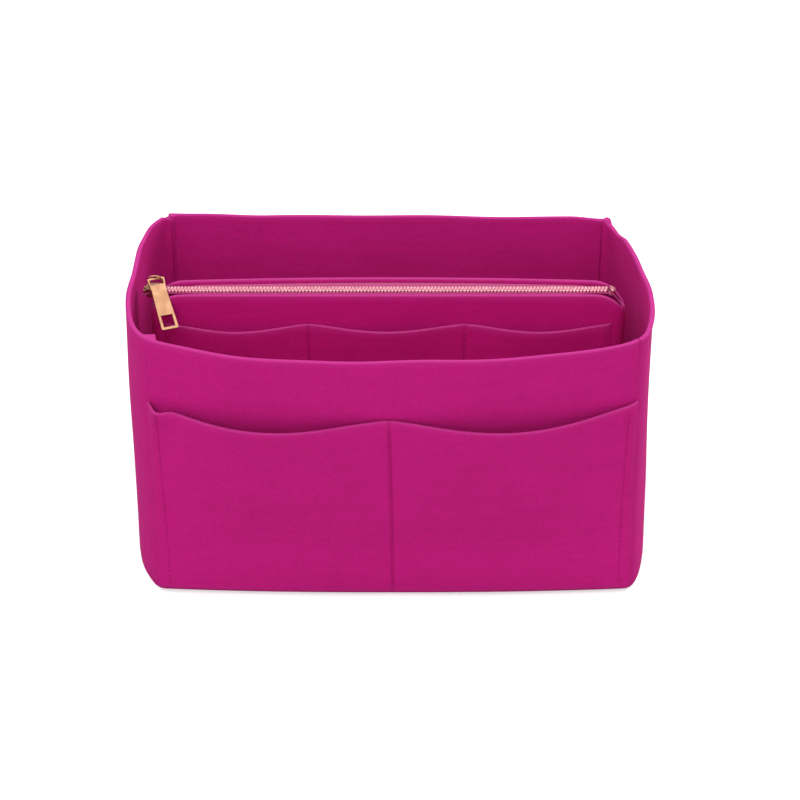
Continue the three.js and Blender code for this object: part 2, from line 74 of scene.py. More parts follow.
# Pouch, as in the part's source
POUCH_LENGTH, POUCH_HEIGHT, POUCH_THICKNESS = 286.0, 156.5, 2.5
POUCH_MOUTH, POUCH_FOOT, POUCH_FOOT_RISE, POUCH_FOOT_SHARE = 13.7, 3.0, 24.0, 0.3
POUCH_REAR_BOW, POUCH_BOW_POWER, POUCH_REAR_RISE = 5.0, 2.0, 1.5
POUCH_CORNER_RADIUS, POUCH_ARC = 20.0, 0.05
POUCH_FLAT, POUCH_RIM, POUCH_ARC_STEPS, POUCH_STEPS = (298.0, 158.0), 300.0, 9, 90
POUCH_HALF = POUCH_LENGTH / 2
POUCH_TOP = FOOT + POUCH_HEIGHT

# Zip, as in the part's source
CHAIN_BELOW_EDGE, CHAIN_END_INSET = 0.6, 11.0
SLIDER_INSET, SLIDER_LENGTH, SLIDER_POST = 4.0, 11.0, 2.6
CHAIN_Z = POUCH_TOP - CHAIN_BELOW_EDGE
SLIDER_X = -POUCH_HALF + SLIDER_INSET
CHAIN_START = SLIDER_X - SLIDER_LENGTH / 2 + SLIDER_POST + SEAM_GAP
CHAIN_END = POUCH_HALF - CHAIN_END_INSET

# Zip, as drawn here. The tooth's right half and the stop are outlines: along the chain, across it.
# The tape's fold has rows of its share of the way to the panel and how far down it lies.
CHAIN_BEND = 0.12
TOOTH_PITCH, TOOTH_LEAD, TOOTH_HALF_HEIGHT, TOOTH_BEVEL = 2.05, 0.6, 1.25, 0.22
TOOTH = ((0.8, 2.9), (0.8, 1.2), (0.36, 0.85), (0.5, 0.3), (0.5, -0.4), (0.3, -0.75))
STOP = ((1.5, -2.3), (0.9, -2.9), (-1.2, -2.9), (-1.2, 2.9), (0.9, 2.9), (1.5, 2.3))
STOP_HALF_LENGTH, STOP_HALF_HEIGHT, STOP_BEVEL = 1.5, 1.5, 0.35
TAPE_FOLD = (
    (0, 0), (0.1, 0), (0.5, 0.02), (0.85, 0.1), (1, 0.45), (1, 1.2), (1, 4), (1, 7), (1, 8.8), (1, 9.2),
)
TAPE_EDGE, TAPE_BEND_AT_ENDS, TAPE_BEND, TAPE_SPREAD_RUN = 3.0, 3.75, 4.75, 10.0
TAPE_SHORT_DROP, TAPE_LONG_DROP = 0.45, 9.0
TAPE_HALF_THICKNESS, TAPE_FLAT, TAPE_COLUMNS, TAPE_RING = 0.26, (12.0, 288.0), 110, 0.3
TAPE_END_INSET, TAPE_TAIL, TAPE_TAIL_START, TAPE_TAIL_DIP, TAPE_TAIL_RUN = 3.0, 8.4, 7.0, 1.2, 1.4
SLIDER_ROUND, PULL_ROUND, TOP_STOP_ROUND = 0.22, 0.25, 0.35
BEVEL_SEGMENTS, BEVEL_ANGLE = 3, 35

# How the felt is drawn: steps of the grids, and cut edges by the distances, thickness and tint of their
# first rings. The tint is partly the paler cut edge, partly a painted highlight along it.
GRID, POCKET_GRID, RING_SPACE = 4.0, 3.0, 1.6
EDGE_RINGS, EDGE_LEVELS, EDGE_AND_HIGHLIGHT_TINTS = (0.0, 0.35, 0.9), (0.5, 0.87), (1.0, 0.8, 0.25)
EDGE_ROUND = 1.5

# Corner seams: wall ends meet nearly square, and their allowances stand in as a ridge
ARC_STEPS, WALL_STEPS, BUTT_SPACE = 41, 200, 2.0
BUTT_REACH, BUTT_LEVELS, BUTT_STEPS = 0.17, (0.985, 1.0), (0.0, 0.35, 0.9, 1.7, 2.6, 3.5, 4.5, 5.6)
RIDGE_RUN, RIDGE_POWER, LEFT_FRONT_RIDGE, REAR_RIDGE = 7.0, 1.2, 5.0, 4.0

# Pocket ends and divider seams press the felt thin. The outer pocket's left mouth stands open.
PRESSED_RUN, PRESSED, PRESSED_LIGHTLY = 3.5, 0.2, 0.55
SEAM_STEPS, SEAM_WIDTH = (0.0, 0.45, 0.9, 1.6, 2.4), 0.9
SEAM_DEPTH, END_SEAM_DEPTH, END_SEAM_X = 0.7, 0.2, 100
PINCH_OPEN, PINCH_DIP, PINCH_INSET, PINCH_REACH, PINCH_RISE = 3.6, 2.0, 6.0, 5.0, 26.0
POCKET_END_X, POCKET_STITCH_INSET = 138.0, 4.2

# Stitches: rows of the share of their length, their height over the felt and their share of the radius
STITCH_LENGTH, STITCH_STEP, STITCH_LEAD, STITCH_RADIUS, STITCH_SIDES = 2.5, 3.4, 0.4, 0.27, 6
STITCH_PROFILE = ((0, -0.25, 0.12), (0.2, 0.12, 0.9), (0.5, 0.2, 1.0), (0.8, 0.12, 0.9), (1, -0.25, 0.12))

# The photographed shell leans a little to one side: rows of Y and how far along X
LEAN = (
    (-106, 0.4), (-95, 2.2), (-84, 2.9), (-56, 1.4), (-32, 0.75), (-7, 0), (18, -1), (46, -2.5), (64, -2.4),
    (80, -0.6),
)
# Its foot stands further out at the front and at the right: by how much, up to what height, from where
# outwards and over what run
FOOT_FORWARD = dict(by=4.2, height=45.0, grows=(20, 60))
FOOT_RIGHT = dict(by=1.4, height=90.0, grows=(40, 90))

# Felt ripples: how deep, from where outwards and over what run they grow, and the half length and power
# with which they die out towards the corners. The sides lie flatter towards the rear.
FRONT_RIPPLE = dict(depth=0.8, grows=(72, 12), fades=(139, 8))
REAR_RIPPLE = dict(depth=0.9, grows=(74, 5), fades=(137, 8), shift=60)
SIDE_RIPPLE = dict(depth=0.7, grows=(142, 8), fades=(78, 6), stretch=1.3, shift=30)
POUCH_RIPPLE = dict(depth=0.7, fades=(140, 10), foot=40, mouth=6, mouth_run=30, shift=30)
RIPPLE_RISE, SIDE_FLATTER, SIDE_FLATTER_GROWS = 50.0, 0.9, (-25, 30)

# Front wall's outside: a faint line (height, depth, half width), and creases (height, length, depth) that
# all end at one place near the right corner. Their ends fade in and out over the runs.
FAINT_LINE, FAINT_LINE_GROWS, FAINT_LINE_ENDS = (148.5, 0.4, 1.2), (-122, 10), (5, 30)
CREASES = ((160.5, 29, 0.5), (154.5, 35, 0.42), (147.0, 25, 0.32))
CREASE_END_X, CREASE_GROW_RUN, CREASE_FADE_RUN = 137.0, 14.0, 4.0
CREASE_SLOPE, CREASE_SLOPE_X, CREASE_HALF_WIDTH = 0.05, 125.0, 1.3

# How far the rims rise or dip near the rear corners, from where and over what run. The power keeps that
# to the top of a wall.
RIM_POWER = 12
REAR_RIM_LEFT, REAR_RIM_LEFT_GROWS = 2.4, (75, 45)
REAR_RIM_RIGHT, REAR_RIM_RIGHT_GROWS = -1.8, (115, 22)
SIDE_RIM_GROWS, NIB_GROWS = (45, 18), (74, 3)
LEFT_RIM_REAR, LEFT_RIM_NIB, RIGHT_RIM_REAR, RIGHT_RIM_NIB = 2.0, -1.6, -3.2, 3.0
# How far the right rim folds out, from what height and from where towards the front
RIM_FLARE, RIM_FLARE_RISES, RIM_FLARE_GROWS = 1.1, (162, 7), (-10, 30)

# Base panel: shares of the way from its middle to its outline, and the thickness there
BASE_RINGS = (0.0, 0.25, 0.5, 0.75, 0.93, 0.985, 1.0)
BASE_LEVELS = (1.0, 1.0, 1.0, 1.0, 1.0, 1.0, 0.5)
BASE_INSET, BASE_STEPS = 0.2, 60

# Studio, in metres, and the camera that the photo's perspective gives
FLOOR_GLOW, FLOOR_HALF, FLOOR_DROP, FLOOR_TONES = 0.5, 3.0, 0.0004, (0.62, 0.64)
WORLD_FILL = 0.58
CAMERA_AT, CAMERA_TILT = (0.0071, -0.943, 0.660), 58.5
CAMERA_LENS, CAMERA_SENSOR, CAMERA_NEAR = 80.1, 36.0, 0.05
# Lamps: name, place, target, width and power
LAMPS = (
    ("front", (-0.7, -1.9, 0.8), (0, 0, 0.12), 1.2, 5),
    ("high_front", (-0.4, -1.2, 1.35), (0, 0, 0.1), 1.0, 8.5),
    ("top", (0.1, -0.15, 1.35), (0, 0, 0.1), 2.0, 17),
    ("right", (1.1, 0.9, 0.8), (-0.1, 0, 0.12), 0.8, 12),
    ("left", (-1.1, 0.9, 0.8), (0.1, 0, 0.12), 0.8, 4),
)


def lerp(a, b, share):
    return a + (b - a) * share


def smooth(share):
    """Eased share, held between 0 and 1."""
    s = np.clip(share, 0.0, 1.0)
    return s * s * (3 - 2 * s)


def grown(value, start, run):
    """0 up to a start, 1 past a run."""
    return smooth((value - start) / run)


def curve_through(rows, x):
    """Smooth curve through given places."""
    xs, ys = np.array(rows, dtype=float).T
    slopes = np.gradient(ys, xs)
    k = np.clip(np.searchsorted(xs, x) - 1, 0, len(xs) - 2)
    step = xs[k + 1] - xs[k]
    t = np.clip((x - xs[k]) / step, 0, 1)
    rise, first, last = ys[k + 1] - ys[k], slopes[k] * step, slopes[k + 1] * step
    return ys[k] + t * (first + t * (3 * rise - 2 * first - last + t * (first + last - 2 * rise)))


def middle(x, half, power):
    """1 in the middle of a length, falling to 0 at its ends."""
    return np.clip(1 - np.abs(x / half) ** power, 0, 1)


def bow_rise(bow, power, share):
    return bow * (1 - np.abs(2 * share - 1) ** power)


# --- Plan curves, as in the part's source ---


def plan_point(c, share):
    """Point of a chord with an arc at each end and a bow."""
    chord = c["to"] - c["from"]
    length = np.abs(chord)
    e = chord / length
    a = c["arc"]
    start_run, finish_run = c["first"] * np.sin(c["start"]), c["last"] * np.sin(c["finish"])
    start_rise, finish_rise = c["first"] * (1 - np.cos(c["start"])), c["last"] * (1 - np.cos(c["finish"]))
    turn_in = c["start"] * (1 - share / a)
    turn_out = c["finish"] * (1 - (1 - share) / a)
    m = (share - a) / (1 - 2 * a)
    first, last = share < a, share > 1 - a
    along = np.where(first, start_run - c["first"] * np.sin(turn_in), lerp(start_run, length - finish_run, m))
    along = np.where(last, length - finish_run + c["last"] * np.sin(turn_out), along)
    between = lerp(start_rise, finish_rise, smooth(m))
    rise = np.where(first, start_rise - c["first"] * (1 - np.cos(turn_in)), between)
    rise = np.where(last, finish_rise - c["last"] * (1 - np.cos(turn_out)), rise)
    rise = rise + bow_rise(c["bow"], c["power"], along / length)
    return c["from"] + e * along - 1j * e * rise


def plan_normal(c, share):
    """Outward normal of a plan curve."""
    step = 1e-4
    d = plan_point(c, np.minimum(share + step, 1)) - plan_point(c, np.maximum(share - step, 0))
    return -1j * d / np.abs(d)


def plan_offset(c, share, distance):
    return plan_point(c, share) + plan_normal(c, share) * distance


def share_at_x(c, x):
    low = np.real(c["from"]) + c["first"] * np.sin(c["start"])
    high = np.real(c["to"]) - c["last"] * np.sin(c["finish"])
    return lerp(c["arc"], 1 - c["arc"], (x - low) / (high - low))


def side_bulge(h):
    return lerp(BULGE_BASE, BULGE_RIM, h)


def front_bow(h):
    return lerp(BOW_BASE, BOW_RIM, h)


def front_radius(h):
    return lerp(FRONT_RADIUS_BASE, FRONT_RADIUS_RIM, h)


def corner_angles(h):
    """Angles of a front and of a rear corner's arcs at a height share."""
    side = np.arctan(2 * BULGE_POWER * side_bulge(h) / DEPTH)
    front = np.arctan(2 * BOW_POWER * front_bow(h) / lerp(BASE_LENGTH, RIM_LENGTH, h))
    return (math.pi / 2 - side - front) / 2, (math.pi / 2 - side) / 2


def corner_seams(h):
    """Plan points of the right front and the right rear corner seam at a height share."""
    front_angle, rear_angle = corner_angles(h)
    half = lerp(BASE_LENGTH, RIM_LENGTH, h) / 2
    front = WALL_THICKNESS / 2 + front_radius(h) * (1 - np.cos(front_angle))
    rear = WALL_THICKNESS / 2 + REAR_RADIUS * (1 - np.cos(rear_angle))
    return (half - front) + 1j * (DEPTH / 2 - front), (half - rear) + 1j * (DEPTH / 2 - rear)


def wall_curve(start_at, end_at, **ends):
    chord = end_at - start_at
    shift = chord / np.abs(chord) * SEAM_GAP * math.sqrt(0.5)
    return {"from": start_at + shift, "to": end_at - shift, "arc": WALL_ARC, **ends}


def front_curve(h):
    front, _ = corner_seams(h)
    angle, _ = corner_angles(h)
    r = front_radius(h)
    ends = dict(start=angle, finish=angle, first=r, last=r, bow=front_bow(h), power=BOW_POWER)
    return wall_curve(-front, np.conj(front), **ends)


def rear_curve(h):
    _, rear = corner_seams(h)
    _, angle = corner_angles(h)
    ends = dict(start=angle, finish=angle, first=REAR_RADIUS, last=REAR_RADIUS, bow=0.0, power=BOW_POWER)
    return wall_curve(rear, -np.conj(rear), **ends)


def right_curve(h):
    front, rear = corner_seams(h)
    fa, ra = corner_angles(h)
    ends = dict(start=fa, finish=ra, first=front_radius(h), last=REAR_RADIUS)
    return wall_curve(np.conj(front), rear, bow=side_bulge(h), power=BULGE_POWER, **ends)


def left_curve(h):
    front, rear = corner_seams(h)
    fa, ra = corner_angles(h)
    ends = dict(start=ra, finish=fa, first=REAR_RADIUS, last=front_radius(h))
    return wall_curve(-np.conj(rear), -front, bow=side_bulge(h), power=BULGE_POWER, **ends)


def height_share(z):
    return (z - FOOT) / (WALL_HEIGHT - FOOT)


def pouch_depth(z):
    return lerp(POUCH_FOOT, POUCH_MOUTH, smooth((z - FOOT) / POUCH_FOOT_RISE)) / 2


def pouch_curve(z, sign, bow):
    r = pouch_depth(z)
    right = POUCH_HALF - POUCH_THICKNESS / 2 + 0.5j * sign * SEAM_GAP
    left = -np.conj(right)
    start_at, end_at = (left, right) if sign < 0 else (right, left)
    rise = bow * smooth((z - FOOT) / (POUCH_TOP - FOOT))
    ends = dict(start=math.pi / 2, finish=math.pi / 2, first=r, last=r, arc=POUCH_ARC)
    return {"from": start_at, "to": end_at, "bow": rise, "power": POUCH_BOW_POWER, **ends}


def front_pouch_curve(z):
    return pouch_curve(z, -1, 0.0)


def rear_pouch_curve(z):
    return pouch_curve(z, 1, POUCH_REAR_BOW)


def corner_drop(x):
    """How far the pouch's top edge has curved down at a place along it."""
    into = np.clip(POUCH_HALF - np.abs(x), 0, POUCH_CORNER_RADIUS)
    run = 1 - into / POUCH_CORNER_RADIUS
    return POUCH_CORNER_RADIUS * (1 - np.sqrt(np.maximum(1 - run * run, 0)))


def pouch_row(v, top):
    """Height of a pouch row: the first rows cover its narrow foot."""
    turn = FOOT + POUCH_FOOT_RISE
    low = lerp(FOOT, turn, v / POUCH_FOOT_SHARE)
    high = lerp(turn, top, (v - POUCH_FOOT_SHARE) / (1 - POUCH_FOOT_SHARE))
    return np.where(v < POUCH_FOOT_SHARE, low, high)


# --- Softness: what real felt adds to the plain forms. Pieces that lie together share one flow. ---


def ripple(a, b, scale):
    """Crossing waves of uneven lengths, so that they don't repeat over a wall."""
    wave = 0.55 * np.sin(a / 41 + b / 57 + 1.1) * np.sin(b / 48 + 0.6) + 0.3 * np.sin(a / 23 - b / 39)
    return scale * (wave + 0.18 * np.sin(a / 11 + b / 14))


def on_wall(form, outward, along):
    """1 on a wall, 0 away from it and at its corners."""
    return grown(outward, *form["grows"]) * middle(along, *form["fades"])


def at_foot(form, outward, z):
    """How far a place near the foot stands out."""
    return form["by"] * smooth(1 - z / form["height"]) * grown(outward, *form["grows"])


def shell_flow(p):
    """Shell points with the felt's ripples and the photographed lean."""
    q = p.copy()
    x, y, z = p[..., 0], p[..., 1], p[..., 2]
    risen = smooth(z / RIPPLE_RISE)
    q[..., 1] += on_wall(FRONT_RIPPLE, -y, x) * risen * ripple(x, z, FRONT_RIPPLE["depth"])
    rear = ripple(x + REAR_RIPPLE["shift"], z, REAR_RIPPLE["depth"])
    q[..., 1] += on_wall(REAR_RIPPLE, y, x) * risen * rear
    shifted = z + SIDE_RIPPLE["shift"] * np.sign(x)
    swell = ripple(y * SIDE_RIPPLE["stretch"], shifted, SIDE_RIPPLE["depth"])
    swell = swell - SIDE_FLATTER * grown(y, *SIDE_FLATTER_GROWS)
    q[..., 0] += np.sign(x) * on_wall(SIDE_RIPPLE, np.abs(x), y) * risen * swell
    q[..., 0] += curve_through(LEAN, y)
    q[..., 1] -= at_foot(FOOT_FORWARD, -y, z)
    q[..., 0] += at_foot(FOOT_RIGHT, x, z)
    return q


def pouch_flow(p):
    """Pouch points with the felt's ripples, which die out towards its seams and its mouth."""
    q = p.copy()
    x, z = p[..., 0], p[..., 2]
    form = POUCH_RIPPLE
    calm = smooth(z / form["foot"]) * smooth((POUCH_TOP - form["mouth"] - z) / form["mouth_run"])
    calm = calm * middle(x, *form["fades"])
    q[..., 1] += calm * ripple(x - form["shift"], z, form["depth"])
    return q


# --- Meshes ---


def turned_out(points, faces):
    """Faces of a closed mesh, all turned round where its volume comes out negative."""
    volume = 0.0
    for f in faces:
        a = points[f[0]]
        for i in range(1, len(f) - 1):
            volume += float(np.dot(a, np.cross(points[f[i]], points[f[i + 1]])))
    return faces if volume > 0 else [tuple(reversed(f)) for f in faces]


def slab(mid, normal, half, butt=False):
    """Closed slab on a sheet's middle surface, with rounded cut edges. Gives points, faces, edge tint (paler
    cut edge and painted highlight).

    With butt, its ends stay nearly square, to meet another wall.
    """
    rows, columns = mid.shape[:2]
    i, j = np.meshgrid(np.arange(columns), np.arange(rows))
    ring = np.minimum(j, rows - 1 - j)
    level = np.select([ring == 0, ring == 1], EDGE_LEVELS, 1.0)
    tint = np.select([ring == 0, ring == 1, ring == 2], EDGE_AND_HIGHLIGHT_TINTS, 0.0)
    end = np.minimum(i, columns - 1 - i)
    level = np.minimum(level, np.select([end == 0, end == 1], BUTT_LEVELS if butt else EDGE_LEVELS, 1.0))
    reach = (half - np.minimum(half, EDGE_ROUND) * (1 - level))[..., None] * normal
    points = np.concatenate([(mid - reach).reshape(-1, 3), (mid + reach).reshape(-1, 3)])
    at = lambda c, r: r * columns + c
    other = rows * columns
    faces = []
    for r in range(rows - 1):
        for c in range(columns - 1):
            a, b, d, e = at(c, r), at(c, r + 1), at(c + 1, r + 1), at(c + 1, r)
            faces += [(a, b, d, e), (a + other, e + other, d + other, b + other)]
    border = [at(c, 0) for c in range(columns)] + [at(columns - 1, r) for r in range(1, rows)]
    border += [at(c, rows - 1) for c in range(columns - 2, -1, -1)]
    border += [at(0, r) for r in range(rows - 2, 0, -1)]
    for a, b in zip(border, border[1:] + border[:1]):
        faces.append((a, b, b + other, a + other))
    return points, turned_out(points, faces), np.tile(tint.reshape(-1), 2)


def make(name, points, faces, look, body, nodes=(), tint=None):
    """Piece on a body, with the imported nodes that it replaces."""
    mesh = bpy.data.meshes.new(name)
    mesh.from_pydata((np.asarray(points) * MM).tolist(), [], faces)
    mesh.polygons.foreach_set("use_smooth", [True] * len(faces))
    if tint is not None:
        mesh.attributes.new("edge", "FLOAT", "POINT").data.foreach_set("value", tint)
    mesh.materials.append(look)
    obj = bpy.data.objects.new(name, mesh)
    bpy.context.scene.collection.objects.link(obj)
    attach(obj, body)
    if nodes:
        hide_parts(*nodes)
    return obj


def shares(length, step=GRID):
    """Shares along a length: the rings of the rounded edge at each end, even steps between."""
    rings = [r / length for r in EDGE_RINGS]
    even = np.linspace(0, 1, int(length / step) + 1)
    keep = (even > RING_SPACE * rings[-1]) & (even < 1 - RING_SPACE * rings[-1])
    return np.array(rings + list(even[keep]) + [1 - r for r in reversed(rings)])


def with_lines(columns, lines):
    """Columns with finer ones where a seam presses the felt in."""
    near = np.array(SEAM_STEPS)
    kept = [c for c in columns if all(abs(c - line) > near[-1] + 0.5 for line in lines)]
    return np.array(sorted(kept + [line + d for line in lines for d in (*near, *-near[1:])]))


def in_plan(values, z):
    """Points from complex plan values and heights."""
    return np.stack([values.real, values.imag, z + 0 * values.real], axis=-1)


def bell(distance, width):
    """1 at a place, falling smoothly to 0 around it."""
    return np.exp(-((distance / width) ** 2))


# --- Shell walls: they meet at the corners, where their allowances make a soft ridge inside ---


def wall_line(curve_at, h, steps):
    """A wall's middle line at a height share, its outward normals, and how far places are from each end."""
    c = curve_at(h)
    parts = [np.linspace(0, WALL_ARC, ARC_STEPS), np.linspace(WALL_ARC, 1 - WALL_ARC, WALL_STEPS)[1:-1]]
    p = plan_point(c, np.concatenate(parts + [np.linspace(1 - WALL_ARC, 1, ARC_STEPS)]))
    unit = lambda q: q / np.abs(q)
    total = float(np.abs(np.diff(p)).sum())
    ends = np.array(BUTT_STEPS)
    inner = np.linspace(ends[-1] + BUTT_SPACE, total - ends[-1] - BUTT_SPACE, steps)
    along = np.concatenate([ends - BUTT_REACH, inner, total + BUTT_REACH - ends[::-1]])
    p = np.concatenate([[p[0] - unit(p[1] - p[0])], p, [p[-1] + unit(p[-1] - p[-2])]])
    run = np.concatenate([[0], np.cumsum(np.abs(np.diff(p)))]) - 1
    line = np.interp(along, run, p.real) + 1j * np.interp(along, run, p.imag)
    return line, -1j * unit(np.gradient(line)), np.clip(along, 0, None), np.clip(total - along, 0, None)


def wall(name, curve_at, length, node, ridges, rim, creases=None):
    """Felt wall. ridges says how far the ridge at its first and at its last end stands in."""
    steps = int(length / GRID)
    mids, normals, halves = [], [], []
    for h in shares(WALL_HEIGHT - FOOT):
        line, out, first, last = wall_line(curve_at, h, steps)
        z = lerp(FOOT, WALL_HEIGHT, h) + rim(line) * h**RIM_POWER
        if creases:
            line = line + out * creases(line, z)
        first, last = smooth(1 - first / RIDGE_RUN), smooth(1 - last / RIDGE_RUN)
        ridge = ridges[0] * first**RIDGE_POWER + ridges[1] * last**RIDGE_POWER
        mids.append(in_plan(line - out * ridge / 2, z))
        normals.append(in_plan(out, np.zeros(len(line))))
        halves.append((WALL_THICKNESS + ridge) / 2)
    points, faces, tint = slab(np.array(mids), np.array(normals), np.array(halves), butt=True)
    obj = make(name, shell_flow(points), faces, felt, "shell", [node], tint)


def front_creases(place, z):
    """How far the front wall is pressed in: a faint line and short creases near its right corner."""
    x = place.real
    level, depth, half = FAINT_LINE
    end, run = FAINT_LINE_ENDS
    pressed = depth * bell(z - level, half) * grown(x, *FAINT_LINE_GROWS) * smooth((end - x) / run)
    for level, length, depth in CREASES:
        near = grown(x, CREASE_END_X - length, CREASE_GROW_RUN) * smooth((CREASE_END_X - x) / CREASE_FADE_RUN)
        slope = CREASE_SLOPE * (x - CREASE_SLOPE_X)
        pressed = pressed + depth * bell(z - level - slope, CREASE_HALF_WIDTH) * near
    return -pressed


def rim_flare(place, z):
    """The right wall's rim folds out a little towards the front."""
    return RIM_FLARE * grown(z, *RIM_FLARE_RISES) * grown(-place.imag, *RIM_FLARE_GROWS)


def front_rim(line):
    """The front rim waves a little."""
    return 0.45 * np.sin(line.real / 29 + 0.5) + 0.25 * np.sin(line.real / 11)


def rear_rim(line):
    """It waves too, rises towards its left end and dips towards its right one."""
    x = line.real
    corners = REAR_RIM_LEFT * grown(-x, *REAR_RIM_LEFT_GROWS)
    corners = corners + REAR_RIM_RIGHT * grown(x, *REAR_RIM_RIGHT_GROWS)
    return 0.5 * np.sin(x / 37 + 2) + 0.3 * np.sin(x / 15) + corners


def side_rim(line):
    """Side rims dip or rise towards the rear and end in a small nib."""
    rear, nib = grown(line.imag, *SIDE_RIM_GROWS), grown(line.imag, *NIB_GROWS)
    right, left = RIGHT_RIM_REAR * rear + RIGHT_RIM_NIB * nib, LEFT_RIM_REAR * rear + LEFT_RIM_NIB * nib
    return 0.35 * np.sin(line.imag / 17 + 1) + np.where(line.real > 0, right, left)


def base():
    """Base panel: rings from its middle to its outline, the last one thin for a soft edge."""
    outline = []
    for curve_at in (front_curve, right_curve, rear_curve, left_curve):
        c = curve_at(0.0)
        for share in np.linspace(0, 1, BASE_STEPS)[:-1]:
            outline.append(complex(plan_offset(c, share, WALL_THICKNESS / 2 - BASE_INSET)))
    rings = len(BASE_RINGS) - 1
    half = BASE_THICKNESS / 2
    points, faces = [], []
    for side in (-1, 1):
        points.append((0.0, 0.0, half + side * half))
        for share, level in zip(BASE_RINGS[1:], BASE_LEVELS[1:]):
            points += [(o.real * share, o.imag * share, half + side * half * level) for o in outline]
    n, per = len(outline), 1 + len(outline) * rings
    for side, start in ((-1, 0), (1, per)):
        for k in range(n):
            after = (k + 1) % n
            fan = (start, start + 1 + k, start + 1 + after)
            faces.append(fan if side > 0 else fan[::-1])
            for r in range(rings - 1):
                a, b = start + 1 + r * n, start + 1 + (r + 1) * n
                quad = (a + k, b + k, b + after, a + after)
                faces.append(quad if side > 0 else quad[::-1])
    low, high = 1 + (rings - 1) * n, per + 1 + (rings - 1) * n
    for k in range(n):
        after = (k + 1) % n
        faces.append((low + k, low + after, high + after, high + k))
    points = np.array(points)
    faces = turned_out(points, faces)
    obj = make("base_felt", shell_flow(points), faces, felt, "shell", ["base_panel"])


# --- Pockets ---


def pocket_sheet(form, seams, heights, standoff, outward, curve_at, z_at, columns, share_at):
    """Middle surface and normals of a pocket panel, as in the part's source, on a finer grid."""
    level = curve_at(heights[0])
    x = plan_point(level, share_at(level, columns)).real
    seams, heights = np.array(seams), np.array(heights)
    k = np.clip(np.searchsorted(seams, x) - 1, 0, len(seams) - 2)
    w = np.clip((x - seams[k]) / (seams[k + 1] - seams[k]), 0, 1)
    swell = np.sin(np.pi * w) ** SCOOP_POWER
    top = lerp(heights[k], heights[k + 1], w) - form["scoop"] * swell
    mids, normals = [], []
    for v in shares(float(np.max(heights)) - FOOT):
        z = z_at(v, top)
        c = curve_at(z)
        s = share_at(c, columns)
        away = standoff + SEAM_GAP + form["thickness"] / 2 + form["puff"] * swell * v**PUFF_POWER
        out = plan_normal(c, s) * outward
        mids.append(in_plan(plan_point(c, s) + out * away, z))
        normals.append(in_plan(out, np.zeros(len(columns))))
    return np.array(mids), np.array(normals)


def pinch(mid, normal):
    """The outer pocket's mouth stands open and dips beside its left end, which is sewn down."""
    near = bell(mid[..., 0] + POCKET_END_X - PINCH_INSET, PINCH_REACH)
    rise = smooth((mid[..., 2] - mid[..., 2].max() + PINCH_RISE) / PINCH_RISE)
    mid = mid + normal * (PINCH_OPEN * near * rise**2)[..., None]
    mid[..., 2] -= PINCH_DIP * near * rise**3
    return mid


def pocket(name, form, mid, normal, lines, flow, body, node, look, pressed=PRESSED):
    """Pocket panel, pressed thin at its ends and along its seams. Gives its stitch lines."""
    thickness = form["thickness"]
    stitched = [column_at(mid, normal, thickness / 2, x, *form["stitched"]) for x in lines]
    x = mid[..., 0]
    into = np.minimum(x - x.min(axis=1, keepdims=True), x.max(axis=1, keepdims=True) - x)
    half = thickness / 2 * lerp(pressed, 1, smooth(into / PRESSED_RUN))
    mid = mid - (thickness / 2 - half)[..., None] * normal
    for line in lines:
        depth = END_SEAM_DEPTH if abs(line) > END_SEAM_X else SEAM_DEPTH
        half = half * (1 - depth * bell(x - line, SEAM_WIDTH))
    points, faces, tint = slab(mid, normal, half)
    obj = make(name, flow(points), faces, look, body, [node], tint)
    return stitched


def column_at(mid, normal, half, x, low, high):
    """Line up a sheet's outer face at a place along X, between two heights."""
    path, out = [], []
    for row, n in zip(mid, normal):
        order = np.argsort(row[:, 0])
        pick = lambda v: np.array([np.interp(x, row[order, 0], v[order, k]) for k in range(3)])
        p, q = pick(row), pick(n)
        if low <= p[2] <= high:
            path.append(p + q * half)
            out.append(q)
    return np.array(path), np.array(out)


def row_stitches(path, normal):
    """Thread along a line of points: short closed stitches that dip into the felt at both ends."""
    run = np.concatenate([[0], np.cumsum(np.linalg.norm(np.diff(path, axis=0), axis=1))])
    at = lambda values, d: np.array([np.interp(d, run, values[:, k]) for k in range(3)])
    points, faces, count = [], [], int((run[-1] - STITCH_LENGTH) / STITCH_STEP)
    sides = STITCH_SIDES
    for n in range(count + 1):
        begin = n * STITCH_STEP + STITCH_LEAD
        frames = []
        for share, lift, radius in STITCH_PROFILE:
            d = begin + share * STITCH_LENGTH
            here, out = at(path, d), at(normal, d)
            out = out / np.linalg.norm(out)
            ahead = at(path, min(d + 0.3, run[-1])) - at(path, max(d - 0.3, 0))
            across = np.cross(ahead / np.linalg.norm(ahead), out)
            frames.append((here + out * lift, out, across, radius * STITCH_RADIUS))
        start = len(points)
        for centre, out, across, radius in frames:
            for a in range(sides):
                angle = a * 2 * math.pi / sides
                points.append(centre + radius * (math.cos(angle) * out + math.sin(angle) * across))
        local = []
        for f in range(0, sides * (len(frames) - 1), sides):
            for a in range(sides):
                b = (a + 1) % sides
                local.append((f + a, f + b, f + sides + b, f + sides + a))
        local.append(tuple(range(sides - 1, -1, -1)))
        local.append(tuple(range(sides * (len(frames) - 1), sides * len(frames))))
        local = turned_out(points[start:], local)
        faces += [tuple(start + k for k in f) for f in local]
    return points, faces


def stitches(name, rows, flow, body):
    """One piece of thread for all the seams of a pocket."""
    points, faces = [], []
    for path, normal in rows:
        p, f = row_stitches(flow(path), normal)
        faces += [tuple(len(points) + k for k in q) for q in f]
        points += p
    make(name, points, faces, thread, body)


# --- Zip. Its slider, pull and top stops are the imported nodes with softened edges. ---


def chain_drop(x):
    """Past the slider's last place, the chain's closed end bends down round the pouch's corner."""
    return CHAIN_BEND * np.clip(x - CHAIN_END, 0, None) ** 2


